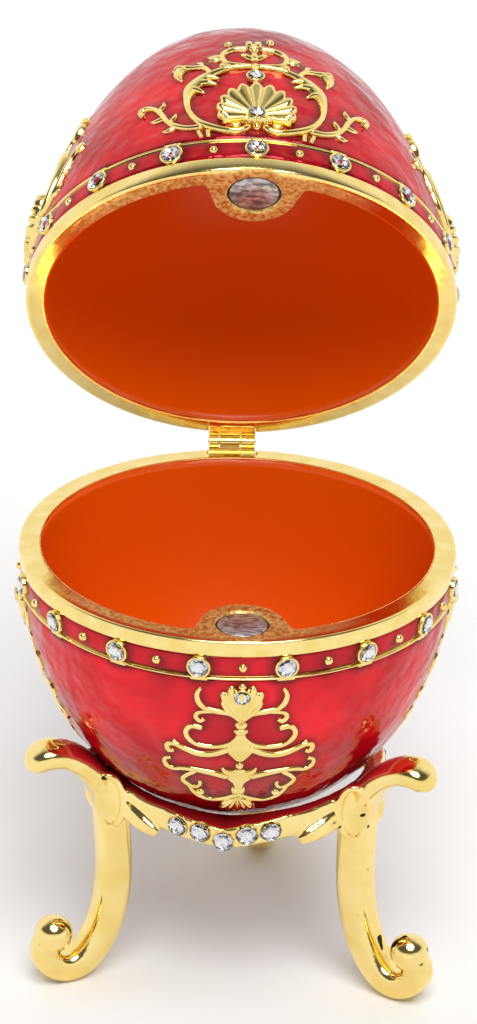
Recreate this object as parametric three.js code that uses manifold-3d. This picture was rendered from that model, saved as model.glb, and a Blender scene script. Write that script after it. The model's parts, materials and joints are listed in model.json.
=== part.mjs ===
// Jewelled egg trinket box: two cast shells joined by a hinge at the back, on a cast tripod stand.
// The lid stands open. Millimetres, +Z up, the front of the egg towards -Y.
import * as THREE from "three";
import { mergeVertices } from "three/addons/utils/BufferGeometryUtils.js";
import Module from "manifold-3d";

const wasm = await Module();
wasm.setup();

// ---------------------------------------------------------------- driving dimensions
// Shells. Each is measured from its own rim plane, away from the rim, along the egg's axis.
const RIM_HEIGHT = 54.5; // the bowl's rim plane above the table
const BOWL = { radius: 26, depth: 33.2, power: 1.96, roundness: 0.43, hollow: 30.8 };
const LID = { radius: 25.75, depth: 37.2, power: 1.55, roundness: 0.405, hollow: 34.8 };
const RIM_INNER_RADIUS = 23.4;
const RIM_TALL = 2.0; // the polished rim's side
const BAND_END = 4.7; // the enamelled band ends at the raised line
const LINE_TALL = 0.4;
const BAND_SINK = 0.3; // the band lies this much inside the rim
const TURN_SEGMENTS = 24;

// How the pieces stand
const EGG_LEAN = 1.2; // the egg is glued into its stand a little out of true, degrees to +X
const LEAN_DROP = 17; // the lean turns about this point on the axis, below the rim
const EGG_SHIFT = -0.8; // the egg sits this far off the middle of its seat, along X
const OPENING = 61; // the lid stands open by this angle
const CLOSED_GAP = 0.2; // between the two rims when the lid is down
const LID_TURN = 1.6; // the lid's ornament is turned on its axis by the soldered hinge
const STAND_TURN = -7.4; // the stand's first apron, from the egg's front

// Hinge
const HINGE = { reach: 27.6, rise: 0.3, skew: -1.2, radius: 0.9 };
const KNUCKLES = [1.3, 2.6, 1.8]; // widths from -X to +X: bowl, lid, bowl
const KNUCKLE_GAP = 0.1;
const PIN_RADIUS = 0.35;
const PIN_HOLE_RADIUS = 0.43;
const LEAF = { thick: 0.6, inset: 1.5, clear: 0.08 };

// Magnets and their bosses
const MAGNET = { radius: 3.1, thick: 2, sunk: 0.1, clear: 0.1, reach: 21.3 };
const BOSS = { radius: 5, depth: 11, foot: 1.4, footReach: 23.4 };

// Band stones
const STONES = 16;
const STONE = { girdle: 1.15, table: 0.65, tall: 0.55, sides: 6 };
const BEZEL = { radius: 1.4, tall: 0.45, sides: 6 };
const DISC_SIDES = 16; // of the magnets, their pockets and the bosses
const SMALL_STONE_SCALE = 0.8;
const BAND_MIDDLE = 3.4;
const MOTIFS = 4;
const RELIEF = 0.6; // half the width of a raised scroll
const SCROLL_STEP = 5.5; // length of one facet of a scroll

// Stand
const LEGS = 3;
const APRON = { outer: 17.4, inner: 12.4, top: 24.9, topRise: 1.5, foot: 22.1, footRise: 1.1 };
const SEAT_CLEAR = 0.1;
const FOOT_BALL = { reach: 25, height: 6.5, radius: 2.35 };

// ---------------------------------------------------------------- materials
const metal = (color, roughness) => new THREE.MeshStandardMaterial({ color, roughness, metalness: 1 });
const gold = metal(0xf0cf6e, 0.16);
const steel = metal(0x9c9a94, 0.45);
const enamel = new THREE.MeshStandardMaterial({ color: 0xc01526, roughness: 0.12, metalness: 0.2 });
const crystal = new THREE.MeshStandardMaterial({ color: 0xe6e9f0, roughness: 0.05, metalness: 0.3 });

// ---------------------------------------------------------------- solids
const radians = THREE.MathUtils.degToRad;

// A closed geometry as a manifold solid, faces turned outwards.
function solid(geometry) {
  const bare = geometry.index ? geometry.toNonIndexed() : geometry.clone();
  bare.deleteAttribute("normal");
  bare.deleteAttribute("uv");
  const merged = mergeVertices(bare, 1e-4);
  const vertProperties = merged.attributes.position.array;
  const triVerts = new Uint32Array(merged.index.array);
  const made = new wasm.Manifold(new wasm.Mesh({ numProp: 3, vertProperties, triVerts }));
  if (made.volume() > 0) return made;
  for (let i = 0; i < triVerts.length; i += 3) {
    [triVerts[i + 1], triVerts[i + 2]] = [triVerts[i + 2], triVerts[i + 1]];
  }
  return new wasm.Manifold(new wasm.Mesh({ numProp: 3, vertProperties, triVerts }));
}

function mesh(name, made, material) {
  const { vertProperties, triVerts } = made.getMesh();
  const geometry = new THREE.BufferGeometry()
    .setAttribute("position", new THREE.BufferAttribute(vertProperties, 3))
    .setIndex(new THREE.BufferAttribute(triVerts, 1));
  const piece = new THREE.Mesh(geometry, material);
  piece.name = name;
  return piece;
}

// A profile of [radius, height] pairs turned about the Z axis.
function turned(profile, segments = TURN_SEGMENTS) {
  const points = profile.map(([r, z]) => new THREE.Vector2(r, z));
  return new THREE.LatheGeometry(points, segments).rotateX(Math.PI / 2);
}

// A closed skin over rings that all have the same number of points, with flat ends.
// A loop of rings, such as a hoop, joins its last ring to its first and has no ends.
function loft(rings, hoop = false) {
  const sides = rings[0].length;
  const points = rings.flat();
  const index = [];
  const spans = hoop ? rings.length : rings.length - 1;
  for (let i = 0; i < spans; i++) {
    const here = i * sides;
    const next = ((i + 1) % rings.length) * sides;
    for (let j = 0; j < sides; j++) {
      const k = (j + 1) % sides;
      index.push(here + j, here + k, next + k, here + j, next + k, next + j);
    }
  }
  const last = (rings.length - 1) * sides;
  for (let j = 1; j < sides - 1 && !hoop; j++) {
    index.push(0, j + 1, j, last, last + j, last + j + 1);
  }
  return new THREE.BufferGeometry().setFromPoints(points).setIndex(index);
}

// ---------------------------------------------------------------- the shells' form
// The outer radius at a depth from the rim: a superellipse, blunt at the rim, round at the end.
function shellRadius(shell, depth) {
  return shell.radius * (1 - (depth / shell.depth) ** shell.power) ** shell.roundness;
}

// Cumulative length along the outer profile, so that relief can be laid out in true millimetres.
function profileTable(shell, steps = 400) {
  const rows = [{ length: 0, radius: shell.radius, depth: 0 }];
  for (let i = 1; i <= steps; i++) {
    const depth = shell.depth * Math.sin((i / steps) * (Math.PI / 2));
    const radius = i < steps ? shellRadius(shell, depth) : 0;
    const before = rows[i - 1];
    const length = before.length + Math.hypot(radius - before.radius, depth - before.depth);
    rows.push({ length, radius, depth });
  }
  return rows;
}
BOWL.table = profileTable(BOWL);
LID.table = profileTable(LID);
BOWL.side = -1; // the bowl hangs below its rim
LID.side = 1;

// A point of the shell: degrees round from the front, millimetres across from there and along
// the profile from the rim, and its lift off the surface. Also gives the outward normal.
function onShell(shell, azimuth, across, along, lift = 0) {
  const at = shell.table.findIndex((row) => row.length >= along);
  const [a, b] = [shell.table[at - 1], shell.table[at]];
  const t = (along - a.length) / (b.length - a.length);
  const radius = THREE.MathUtils.lerp(a.radius, b.radius, t);
  const depth = THREE.MathUtils.lerp(a.depth, b.depth, t);
  const slope = Math.atan2(a.radius - b.radius, b.depth - a.depth);
  const turn = radians(azimuth) + across / radius;
  const out = new THREE.Vector3(Math.sin(turn), -Math.cos(turn), 0);
  const normal = out.clone().multiplyScalar(Math.cos(slope));
  normal.z = shell.side * Math.sin(slope);
  const point = out.multiplyScalar(radius);
  point.z = shell.side * depth;
  return { point: point.addScaledVector(normal, lift), normal };
}

// A geometry made along +Z, stood on the shell along its normal with its +Y towards the shell's end.
function stoodOn(shell, geometry, azimuth, across, along, lift = 0) {
  const { point, normal } = onShell(shell, azimuth, across, along, lift);
  const side = new THREE.Vector3(0, 0, shell.side).cross(normal).normalize();
  const up = normal.clone().cross(side);
  const frame = new THREE.Matrix4().makeBasis(side, up, normal).setPosition(point);
  return geometry.applyMatrix4(frame);
}

// The hollow shell: outside, rim, inside. A raised line closes the enamelled band.
function shellBody(shell) {
  const steps = 8;
  const lineEnd = BAND_END + LINE_TALL;
  const start = Math.asin(lineEnd / shell.depth);
  const profile = [[0, shell.depth]];
  for (let i = steps - 1; i > 0; i--) {
    const depth = shell.depth * Math.sin(start + (i / steps) * (Math.PI / 2 - start));
    profile.push([shellRadius(shell, depth), depth]);
  }
  const line = shellRadius(shell, BAND_END);
  const band = line - BAND_SINK;
  profile.push([line, lineEnd + 0.1], [line + 0.25, lineEnd - LINE_TALL / 2]);
  profile.push([band, BAND_END - 0.1], [band, RIM_TALL + 0.1], [shell.radius, RIM_TALL - 0.2]);
  profile.push([shell.radius, 0.4], [shell.radius - 0.4, 0]);
  profile.push([RIM_INNER_RADIUS, 0]);
  const inner = 5;
  for (let i = 1; i < inner; i++) {
    const depth = shell.hollow * Math.sin((i / inner) * (Math.PI / 2));
    profile.push([RIM_INNER_RADIUS * (1 - (depth / shell.hollow) ** 2) ** 0.45, depth]);
  }
  profile.push([0, shell.hollow]);
  return turned(profile.map(([r, depth]) => [r, shell.side * depth]));
}

// The whole outer form with no hollow, a little grown: what the stand's seat is cut with.
function shellClearance(shell, grow) {
  const profile = [[0, shell.side * (shell.depth + grow)]];
  for (let angle = 84; angle > 0; angle -= 7) {
    const depth = shell.depth * Math.sin(radians(angle));
    profile.push([shellRadius(shell, depth) + grow, shell.side * (depth + grow)]);
  }
  profile.push([shell.radius + grow, 0], [0, 0]);
  return turned(profile);
}

// ---------------------------------------------------------------- ornament on a shell
// A raised scroll: a four-sided rod carried over the shell through [across, along] places, so
// that its upper half stands proud as a ridge.
function scroll(shell, azimuth, places, mirror = 1, half = RELIEF) {
  const points = places.map(([u, s]) => onShell(shell, azimuth, mirror * u, s, 0.1).point);
  const path = new THREE.CatmullRomCurve3(points, false, "centripetal");
  const section = new THREE.Shape();
  for (let k = 0; k < 4; k++) {
    const angle = (k / 4) * 2 * Math.PI;
    const corner = [half * Math.cos(angle), half * Math.sin(angle)];
    if (k) section.lineTo(...corner);
    else section.moveTo(...corner);
  }
  const steps = Math.ceil(path.getLength() / SCROLL_STEP);
  return new THREE.ExtrudeGeometry(section, { steps, extrudePath: path, curveSegments: 1 });
}

// A dished palmette: a slab with a scalloped edge, wide at the top and narrow at its root.
function palmette(width, tall, flutes) {
  const shape = new THREE.Shape();
  const corners = 2 * flutes;
  for (let k = 0; k <= corners; k++) {
    const angle = radians(-35) + (k / corners) * radians(250);
    const reach = k % 2 ? 1 : 0.9;
    const corner = [0.5 * width * reach * Math.cos(angle), 0.5 * tall * reach * Math.sin(angle)];
    if (k) shape.lineTo(...corner);
    else shape.moveTo(...corner);
  }
  shape.lineTo(0, -0.62 * tall);
  return new THREE.ExtrudeGeometry(shape, { depth: 1.3, bevelEnabled: false }).translate(0, 0, -0.6);
}

const bezel = (scale) =>
  new THREE.CylinderGeometry(scale * (BEZEL.radius - 0.1), scale * BEZEL.radius, 1.2, BEZEL.sides)
    .rotateX(Math.PI / 2)
    .translate(0, 0, BEZEL.tall - 0.6);

// A cut stone: a flat table, a crown and a flat seat at its girdle.
const stone = (scale) =>
  new THREE.CylinderGeometry(STONE.table, STONE.girdle, STONE.tall, STONE.sides)
    .scale(scale, 1, scale)
    .rotateX(Math.PI / 2)
    .translate(0, 0, BEZEL.tall + 0.05 + STONE.tall / 2);

// Half of the lid's motif, from its middle line to +X: the wreath round the shell palmette, the
// garland below and the lyre above.
const LID_SCROLLS = [
  [[0, 19.5], [6.2, 17.3], [8, 13.1], [6.9, 8.7], [2.2, 6.8]],
  [[6.4, 8], [9.4, 8.6], [12.4, 13.3]],
  [[0, 19.5], [3.6, 20.2], [3.6, 23.2], [0, 24]],
];
const LID_STONES = [{ along: 8.9, lift: 0.55 }, { along: 17, lift: 0.1 }];

// Half of the bowl's motif: a horn, one scroll of the heart and an arm of the lower group. The
// stem they spring from runs down the middle.
const BOWL_SCROLLS = [
  [[0, 10.4], [3.2, 9.4], [5, 8.5], [4.9, 6.6]],
  [[0, 13.7], [1.6, 14.9], [4.4, 15.4], [6.3, 13.6], [5.5, 12]],
  [[0, 21.1], [3.1, 20.1], [6.3, 19.8], [8.8, 18.5]],
];
const BOWL_STEM = [[0, 9.5], [0, 13.7], [0, 18.5], [0, 23.2], [0, 27]];
const BOWL_STONES = [{ along: 7, lift: 0.5 }];

// All the gold and the cut stones that one shell carries.
function ornament(shell, name, bandShift, turn) {
  const raised = [];
  const stones = [];
  const pitch = 360 / STONES;
  const atBand = (azimuth, geometry, lift) =>
    stoodOn(shell, geometry, azimuth, 0, BAND_MIDDLE, lift - BAND_SINK);
  for (let i = 0; i < STONES; i++) {
    const azimuth = turn + i * pitch + bandShift;
    raised.push(atBand(azimuth, bezel(1), 0));
    stones.push([`${name}_band_stone_${i + 1}`, atBand(azimuth, stone(1), 0)]);
  }
  const isLid = shell === LID;
  const scrolls = isLid ? LID_SCROLLS : BOWL_SCROLLS;
  const fan = isLid ? [9, 6.4, 4, 11.1] : [6, 4.8, 3, 7.9];
  const opening = isLid ? 0 : Math.PI; // the lid's palmette opens away from the rim, the bowl's to it
  for (let i = 0; i < MOTIFS; i++) {
    const azimuth = turn + (i * 360) / MOTIFS;
    for (const places of scrolls) {
      raised.push(scroll(shell, azimuth, places), scroll(shell, azimuth, places, -1));
    }
    if (!isLid) raised.push(scroll(shell, azimuth, BOWL_STEM, 1, RELIEF + 0.2));
    const [width, tall, flutes, along] = fan;
    const leaf = palmette(width, tall, flutes).rotateZ(opening);
    raised.push(stoodOn(shell, leaf, azimuth, 0, along, 0));
    (isLid ? LID_STONES : BOWL_STONES).forEach(({ along: place, lift }, k) => {
      raised.push(stoodOn(shell, bezel(SMALL_STONE_SCALE), azimuth, 0, place, lift));
      const cut = stoodOn(shell, stone(SMALL_STONE_SCALE), azimuth, 0, place, lift);
      stones.push([`${name}_motif_stone_${i + 1}${"ab"[k]}`, cut]);
    });
  }
  return { raised, stones };
}

// ---------------------------------------------------------------- magnets and hinge
// A boss on the inside of the front wall, drawn down into the wall like a spout.
function boss(shell, turn) {
  const ring = (reach, radius, depth) => {
    const points = [];
    for (let k = 0; k < DISC_SIDES; k++) {
      const angle = (k / DISC_SIDES) * 2 * Math.PI;
      const [x, y] = [radius * Math.cos(angle), radius * Math.sin(angle) - reach];
      points.push(new THREE.Vector3(x, y, shell.side * depth));
    }
    return points;
  };
  const rings = [
    ring(MAGNET.reach, BOSS.radius, 0),
    ring(MAGNET.reach + 0.3, BOSS.radius - 0.3, 4),
    ring(BOSS.footReach, BOSS.foot, BOSS.depth),
  ];
  return loft(rings).rotateZ(radians(turn));
}

// A disc on the boss's place, from one depth to another.
function disc(shell, radius, from, to, turn) {
  return new THREE.CylinderGeometry(radius, radius, to - from, DISC_SIDES)
    .rotateX(Math.PI / 2)
    .translate(0, -MAGNET.reach, (shell.side * (from + to)) / 2)
    .rotateZ(radians(turn));
}

// The pocket a magnet is pressed into: its radius, and a span of depths from above the rim.
const pocket = [MAGNET.radius + MAGNET.clear, -1, MAGNET.sunk + MAGNET.thick + MAGNET.clear];

// Boxes and cylinders of the hinge are set out about its own axis, along X.
const hingeBox = (from, to) =>
  new THREE.BoxGeometry(to[0] - from[0], to[1] - from[1], to[2] - from[2]).translate(
    (from[0] + to[0]) / 2,
    (from[1] + to[1]) / 2,
    (from[2] + to[2]) / 2,
  );
const hingeRod = (radius, from, to) =>
  new THREE.CylinderGeometry(radius, radius, to - from, 12)
    .rotateZ(Math.PI / 2)
    .translate((from + to) / 2, 0, 0);

const hingeWidth = KNUCKLES.reduce((sum, width) => sum + width, 0);
const knuckleStarts = [0, KNUCKLES[0], KNUCKLES[0] + KNUCKLES[1]].map((x) => x - hingeWidth / 2);
const knuckleSpan = (k) => [
  knuckleStarts[k] + (k ? KNUCKLE_GAP / 2 : 0),
  knuckleStarts[k] + KNUCKLES[k] - (k < 2 ? KNUCKLE_GAP / 2 : 0),
];
const leafInner = -(HINGE.reach - BOWL.radius) - LEAF.inset; // how far in over the rim a leaf goes
const leafMiddle = { bowl: -HINGE.rise - 0.4, lid: CLOSED_GAP - HINGE.rise + 0.4 };

// One half of the hinge: its knuckles and a leaf soldered into a notch of the rim.
function hingeHalf(knuckles, middle) {
  const low = middle - LEAF.thick / 2;
  const high = middle + LEAF.thick / 2;
  let half = solid(hingeBox([-hingeWidth / 2, leafInner, low], [hingeWidth / 2, -1.15, high]));
  for (const k of knuckles) {
    const [from, to] = knuckleSpan(k);
    half = half.add(solid(hingeBox([from, -1.3, low], [to, -0.1, high])));
    half = half.add(solid(hingeRod(HINGE.radius, from, to)));
  }
  return half.subtract(solid(hingeRod(PIN_HOLE_RADIUS, -hingeWidth, hingeWidth)));
}

function hingeNotch(middle) {
  const half = hingeWidth / 2 + LEAF.clear;
  const deep = LEAF.thick / 2 + LEAF.clear;
  return hingeBox([-half, leafInner - LEAF.clear, middle - deep], [half, 2, middle + deep]);
}

// A notch is open to the rim plane, so the leaf lies just under it.
function openNotch(middle, side) {
  return solid(hingeNotch(middle)).add(solid(hingeNotch(middle - side * 0.4)));
}

const hingePlace = new THREE.Matrix4()
  .makeRotationZ(radians(HINGE.skew))
  .setPosition(0, HINGE.reach, HINGE.rise);
const toManifold = (matrix) => matrix.toArray();

// ---------------------------------------------------------------- stand
// Stations of a leg in its radial plane: reach from the axis, height, half thickness, half width.
const LEG_STATIONS = [
  [17.5, 24.5, 2.0, 2.6],
  [17.2, 19, 2.1, 2.2],
  [17.1, 13.5, 2.1, 2.15],
  [17.6, 9.5, 2.1, 2.15],
  [19.2, 5.3, 2.05, 2.1],
  [20.7, 2.8, 2.0, 2.1],
  [22.4, 1.65, 2.0, 2.1],
  [24.1, 1.65, 2.0, 2.1],
  [25.8, 2.7, 1.8, 2.0],
  [26.6, 4.5, 1.5, 1.8],
  [25.9, 6.3, 1.2, 1.4],
];
const HORN_STATIONS = [
  [17.1, 18.5, 1.9, 2.1],
  [17.4, 22, 2.2, 2.7],
  [18.7, 25.8, 2.3, 3.5],
  [20.9, 29.2, 1.9, 3.3],
  [23.7, 31.1, 1.75, 2.7],
  [25.9, 31.1, 1.7, 2.3],
  [27.3, 30.1, 0.9, 1.2],
];

// Stations of a sprig: millimetres round the hoop from its leg, height, half thickness.
const SPRIG_STATIONS = [
  [1, 24.4, 1],
  [4, 23.9, 0.9],
  [7, 22.7, 0.5],
  [8.2, 22.1, 0.15],
];

// A limb along stations: a six-sided oval set square to the middle line at each.
function limb(stations, sides = 6) {
  const rings = stations.map(([reach, height, thick, wide], i) => {
    const before = stations[Math.max(i - 1, 0)];
    const after = stations[Math.min(i + 1, stations.length - 1)];
    const along = new THREE.Vector2(after[0] - before[0], after[1] - before[1]).normalize();
    const points = [];
    for (let k = 0; k < sides; k++) {
      const angle = ((k + 0.5) / sides) * 2 * Math.PI;
      const offset = thick * Math.cos(angle);
      const [x, y] = [reach + offset * along.y, wide * Math.sin(angle)];
      points.push(new THREE.Vector3(x, y, height - offset * along.x));
    }
    return points;
  });
  return loft(rings);
}

// One leg standing along +X: shaft and scrolled foot, horn, ball and the two lobes beside the horn.
function legSolid() {
  const ball = new THREE.IcosahedronGeometry(FOOT_BALL.radius, 1);
  ball.translate(FOOT_BALL.reach, 0, FOOT_BALL.height);
  const pieces = [limb(LEG_STATIONS), limb(HORN_STATIONS), ball];
  for (const side of [-1, 1]) {
    const lobe = new THREE.SphereGeometry(1, 6, 4).scale(1.5, 2.1, 3.2);
    pieces.push(lobe.rotateX(side * 0.25).translate(18.0, side * 2.9, 25.4));
    pieces.push(sprig(side));
  }
  return wasm.Manifold.union(pieces.map(solid));
}

// The small leaf that lies along the apron's foot beside each leg.
function sprig(side) {
  const rings = SPRIG_STATIONS.map(([arc, height, half]) => {
    const points = [];
    for (let k = 0; k < 5; k++) {
      const angle = (k / 5) * 2 * Math.PI;
      const reach = APRON.outer - 0.3 + half * Math.cos(angle);
      const turn = (side * arc) / APRON.outer;
      const level = height + half * Math.sin(angle);
      points.push(new THREE.Vector3(reach * Math.cos(turn), reach * Math.sin(turn), level));
    }
    return points;
  });
  return loft(rings);
}

// The apron: a hoop whose edges dip to a point midway between the legs. Its top runs in level
// until it meets the egg, which rests on that edge.
function apron(segments = 36) {
  const rings = [];
  for (let i = 0; i < segments; i++) {
    const angle = (i / segments) * 2 * Math.PI;
    const third = (2 * Math.PI) / LEGS;
    const fromMiddle = Math.abs((angle % third) - third / 2) / (third / 2);
    const rise = Math.min(1, 2.4 * fromMiddle);
    const top = APRON.top + APRON.topRise * rise;
    const foot = APRON.foot + APRON.footRise * rise;
    const corner = (radius, height) =>
      new THREE.Vector3(radius * Math.cos(angle), radius * Math.sin(angle), height);
    rings.push([
      corner(APRON.outer - 0.5, foot),
      corner(APRON.outer, top),
      corner(APRON.inner, top),
      corner(APRON.inner, foot + 0.6),
    ]);
  }
  return loft(rings, true);
}

// ---------------------------------------------------------------- the egg's place on the stand
const lean = new THREE.Euler(0, radians(EGG_LEAN), 0);
const eggPlace = new THREE.Matrix4().makeRotationFromEuler(lean);
const leanPoint = new THREE.Vector3(0, 0, -LEAN_DROP).applyMatrix4(eggPlace);
eggPlace.setPosition(new THREE.Vector3(EGG_SHIFT, 0, RIM_HEIGHT - LEAN_DROP).sub(leanPoint));

// ---------------------------------------------------------------- bowl
const bowlOrnament = ornament(BOWL, "bowl", 180 / STONES, 0);
let bowlSolid = wasm.Manifold.union([
  solid(shellBody(BOWL)),
  solid(boss(BOWL, 0)).intersect(solid(shellClearance(BOWL, -0.8))),
  ...bowlOrnament.raised.map(solid),
]);
bowlSolid = bowlSolid
  .subtract(solid(disc(BOWL, ...pocket, 0)))
  .subtract(openNotch(leafMiddle.bowl, -1).transform(toManifold(hingePlace)));

// ---------------------------------------------------------------- lid, set out closed
const lidOrnament = ornament(LID, "lid", 0, LID_TURN);
const lidPlace = new THREE.Matrix4().setPosition(0, 0, CLOSED_GAP);
const lidHinge = lidPlace.clone().invert().multiply(hingePlace);
let lidSolid = wasm.Manifold.union([
  solid(shellBody(LID)),
  solid(boss(LID, LID_TURN)).intersect(solid(shellClearance(LID, -0.8))),
  ...lidOrnament.raised.map(solid),
]);
lidSolid = lidSolid
  .subtract(solid(disc(LID, ...pocket, LID_TURN)))
  .subtract(openNotch(leafMiddle.lid, 1).transform(toManifold(lidHinge)));

// ---------------------------------------------------------------- stand
let standSolid = solid(apron());
for (let i = 0; i < LEGS; i++) {
  standSolid = standSolid.add(legSolid().rotate([0, 0, (i * 360) / LEGS]));
}
const facing = STAND_TURN - 90 + 180 / LEGS;
standSolid = standSolid
  .rotate([0, 0, facing])
  .subtract(solid(new THREE.BoxGeometry(80, 80, 10).translate(0, 0, -5)))
  .subtract(solid(shellClearance(BOWL, SEAT_CLEAR)).transform(toManifold(eggPlace)));

// ---------------------------------------------------------------- scene graph
const group = new THREE.Group();
group.add(mesh("stand", standSolid, gold));

const egg = new THREE.Group();
egg.applyMatrix4(eggPlace);
group.add(egg);
egg.add(mesh("bowl", bowlSolid, enamel));
const sunk = [MAGNET.sunk, MAGNET.sunk + MAGNET.thick];
egg.add(mesh("bowl_magnet", solid(disc(BOWL, MAGNET.radius, ...sunk, 0)), steel));
for (const [name, geometry] of bowlOrnament.stones) egg.add(mesh(name, solid(geometry), crystal));

const hinge = new THREE.Group();
hinge.applyMatrix4(hingePlace);
egg.add(hinge);
hinge.add(mesh("bowl_hinge_leaf", hingeHalf([0, 2], leafMiddle.bowl), gold));
hinge.add(mesh("hinge_pin", solid(hingeRod(PIN_RADIUS, -hingeWidth / 2, hingeWidth / 2)), gold));

const lidSwing = new THREE.Group();
lidSwing.rotation.x = -radians(OPENING);
hinge.add(lidSwing);
lidSwing.add(mesh("lid_hinge_leaf", hingeHalf([1], leafMiddle.lid), gold));

const lid = new THREE.Group();
lid.applyMatrix4(hingePlace.clone().invert().multiply(lidPlace));
lidSwing.add(lid);
lid.add(mesh("lid", lidSolid, enamel));
lid.add(mesh("lid_magnet", solid(disc(LID, MAGNET.radius, ...sunk, LID_TURN)), steel));
for (const [name, geometry] of lidOrnament.stones) lid.add(mesh(name, solid(geometry), crystal));

// The origin is on the table, under the middle of the open box's outline.
group.updateMatrixWorld(true);
const outline = new THREE.Box3().setFromObject(group, true);
const middle = outline.getCenter(new THREE.Vector3());
group.position.set(-middle.x, -middle.y, -outline.min.z);

export default group;
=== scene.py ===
"""Jewelled egg trinket box on its tripod stand, lid standing open.

Two hollow shells of one form close the egg. Measured from its own rim plane, a shell's outer
radius at depth d is R * (1 - (d / D) ** p) ** q: blunt at the rim, round at the end. All the
ornament is laid out on that form in millimetres across (round the egg) and along (down the
profile from the rim), and lifted off it along its normal. Work is done in millimetres and
turned to metres when a mesh is made.
"""
import json
import math
import bpy
import numpy as np
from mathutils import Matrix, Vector


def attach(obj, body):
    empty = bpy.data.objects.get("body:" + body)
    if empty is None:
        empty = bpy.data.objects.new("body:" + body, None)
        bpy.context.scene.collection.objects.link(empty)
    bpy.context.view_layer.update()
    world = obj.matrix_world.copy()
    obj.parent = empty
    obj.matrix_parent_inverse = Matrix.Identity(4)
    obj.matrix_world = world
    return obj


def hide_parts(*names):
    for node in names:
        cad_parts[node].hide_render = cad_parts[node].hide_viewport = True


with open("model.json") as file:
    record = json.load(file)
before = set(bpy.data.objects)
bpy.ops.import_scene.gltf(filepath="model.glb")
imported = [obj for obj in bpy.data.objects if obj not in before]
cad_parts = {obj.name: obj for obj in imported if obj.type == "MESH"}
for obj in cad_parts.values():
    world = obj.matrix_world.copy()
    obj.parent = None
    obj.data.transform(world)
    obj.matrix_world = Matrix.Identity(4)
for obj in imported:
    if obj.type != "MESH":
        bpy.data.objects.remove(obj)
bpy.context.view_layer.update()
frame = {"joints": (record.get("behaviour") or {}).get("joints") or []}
MM = 0.001


# ---------------------------------------------------------------------------------------------
# Where the egg stands. It is glued into its stand a little out of true, and its lid turns on
# the hinge at the back, whose place the frame gives. The lid's ornament sits a little turned
# against the bowl's.
EGG_LEAN = math.radians(1.2)
LEAN_DROP = 17.0
EGG_SHIFT = -0.8  # the egg lies this far off the middle of its seat
HINGE_REACH, HINGE_RISE, HINGE_SKEW = 27.6, 0.3, math.radians(-1.2)
OPENING = math.radians(61)
CLOSED_GAP = 0.2
LID_TURN = math.radians(1.6)


def turn_about(axis, angle):
    """The 4 x 4 turn about a coordinate axis by an angle, right-handed."""
    c, s = math.cos(angle), math.sin(angle)
    i, j = [(1, 2), (2, 0), (0, 1)]["xyz".index(axis)]
    made = np.eye(4)
    made[i, i], made[j, j], made[i, j], made[j, i] = c, c, -s, s
    return made


def shift(x, y, z):
    """The 4 x 4 move by three lengths."""
    made = np.eye(4)
    made[:3, 3] = x, y, z
    return made


lean = turn_about("y", EGG_LEAN)
hinge_point = np.array(frame["joints"][0]["pos_m"]) / MM
rim_centre = hinge_point - lean[:3, :3] @ (0.0, HINGE_REACH, HINGE_RISE)
EGG = shift(*rim_centre) @ lean
HINGE = EGG @ shift(0, HINGE_REACH, HINGE_RISE) @ turn_about("z", HINGE_SKEW)
SWUNG = HINGE @ turn_about("x", -OPENING)
OPEN_LID = SWUNG @ np.linalg.inv(HINGE) @ EGG @ shift(0, 0, CLOSED_GAP)
stand_axis = rim_centre - LEAN_DROP * lean[:3, 2] - np.array([EGG_SHIFT, 0, 0])


# ---------------------------------------------------------------------------------------------
# The camera stands a little to the left of the front and looks down at the open box. The floor
# is a pale sweep of paper. The room is bright behind the box and low in front of it and dark over
# the camera, but for a very broad softbox there.
CAMERA_AZIMUTH, CAMERA_ELEVATION = math.radians(-1.5), math.radians(26.3)
CAMERA_DISTANCE = 572.0
LENS = 168.9
AIM_UP, AIM_RIGHT = 3.56, 0.1  # the aim, from the middle of the bowl's rim

level = math.cos(CAMERA_ELEVATION)
back = np.array([
    math.sin(CAMERA_AZIMUTH) * level, -math.cos(CAMERA_AZIMUTH) * level, math.sin(CAMERA_ELEVATION)
])
right = np.array([math.cos(CAMERA_AZIMUTH), math.sin(CAMERA_AZIMUTH), 0.0])
up = np.cross(back, right)
place = rim_centre + CAMERA_DISTANCE * back
aim = rim_centre + AIM_UP * up + AIM_RIGHT * right
camera = bpy.data.objects.new("camera", bpy.data.cameras.new("camera"))
camera.data.lens = LENS
camera.data.clip_end = 20
bpy.context.scene.collection.objects.link(camera)
bpy.context.scene.camera = camera
camera.location = Vector(place * MM)
camera.rotation_euler = (Vector(aim * MM) - camera.location).to_track_quat("-Z", "Y").to_euler()
bpy.context.scene.view_settings.view_transform = "Standard"


def linear(hex_colour):
    """sRGB hex to linear RGBA: each channel c becomes ((c + 0.055) / 1.055) ** 2.4."""
    channels = [int(hex_colour[i:i + 2], 16) / 255 for i in (1, 3, 5)]
    return [c / 12.92 if c <= 0.04045 else ((c + 0.055) / 1.055) ** 2.4 for c in channels] + [1]


def add(tree, kind, settings=None, **links):
    """Adds a node of a kind to a tree, with its settings and its inputs: values or sockets."""
    node = tree.nodes.new(kind)
    for name, value in (settings or {}).items():
        setattr(node, name, value)
    for name, value in links.items():
        key = int(name[1:]) if name[0] == "i" and name[1:].isdigit() else name.replace("_", " ")
        socket = node.inputs[key]
        if isinstance(value, bpy.types.NodeSocket):
            tree.links.new(value, socket)
        else:
            socket.default_value = value
    return node


def material(name):
    """A new material with an empty tree; gives the material, its tree and its output node."""
    made = bpy.data.materials.new(name)
    made.use_nodes = True
    made.node_tree.nodes.clear()
    return made, made.node_tree, add(made.node_tree, "ShaderNodeOutputMaterial")


def surface(tree, out, **inputs):
    """Gives a material its principled shader."""
    shader = add(tree, "ShaderNodeBsdfPrincipled", **inputs)
    tree.links.new(shader.outputs[0], out.inputs[0])


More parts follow.
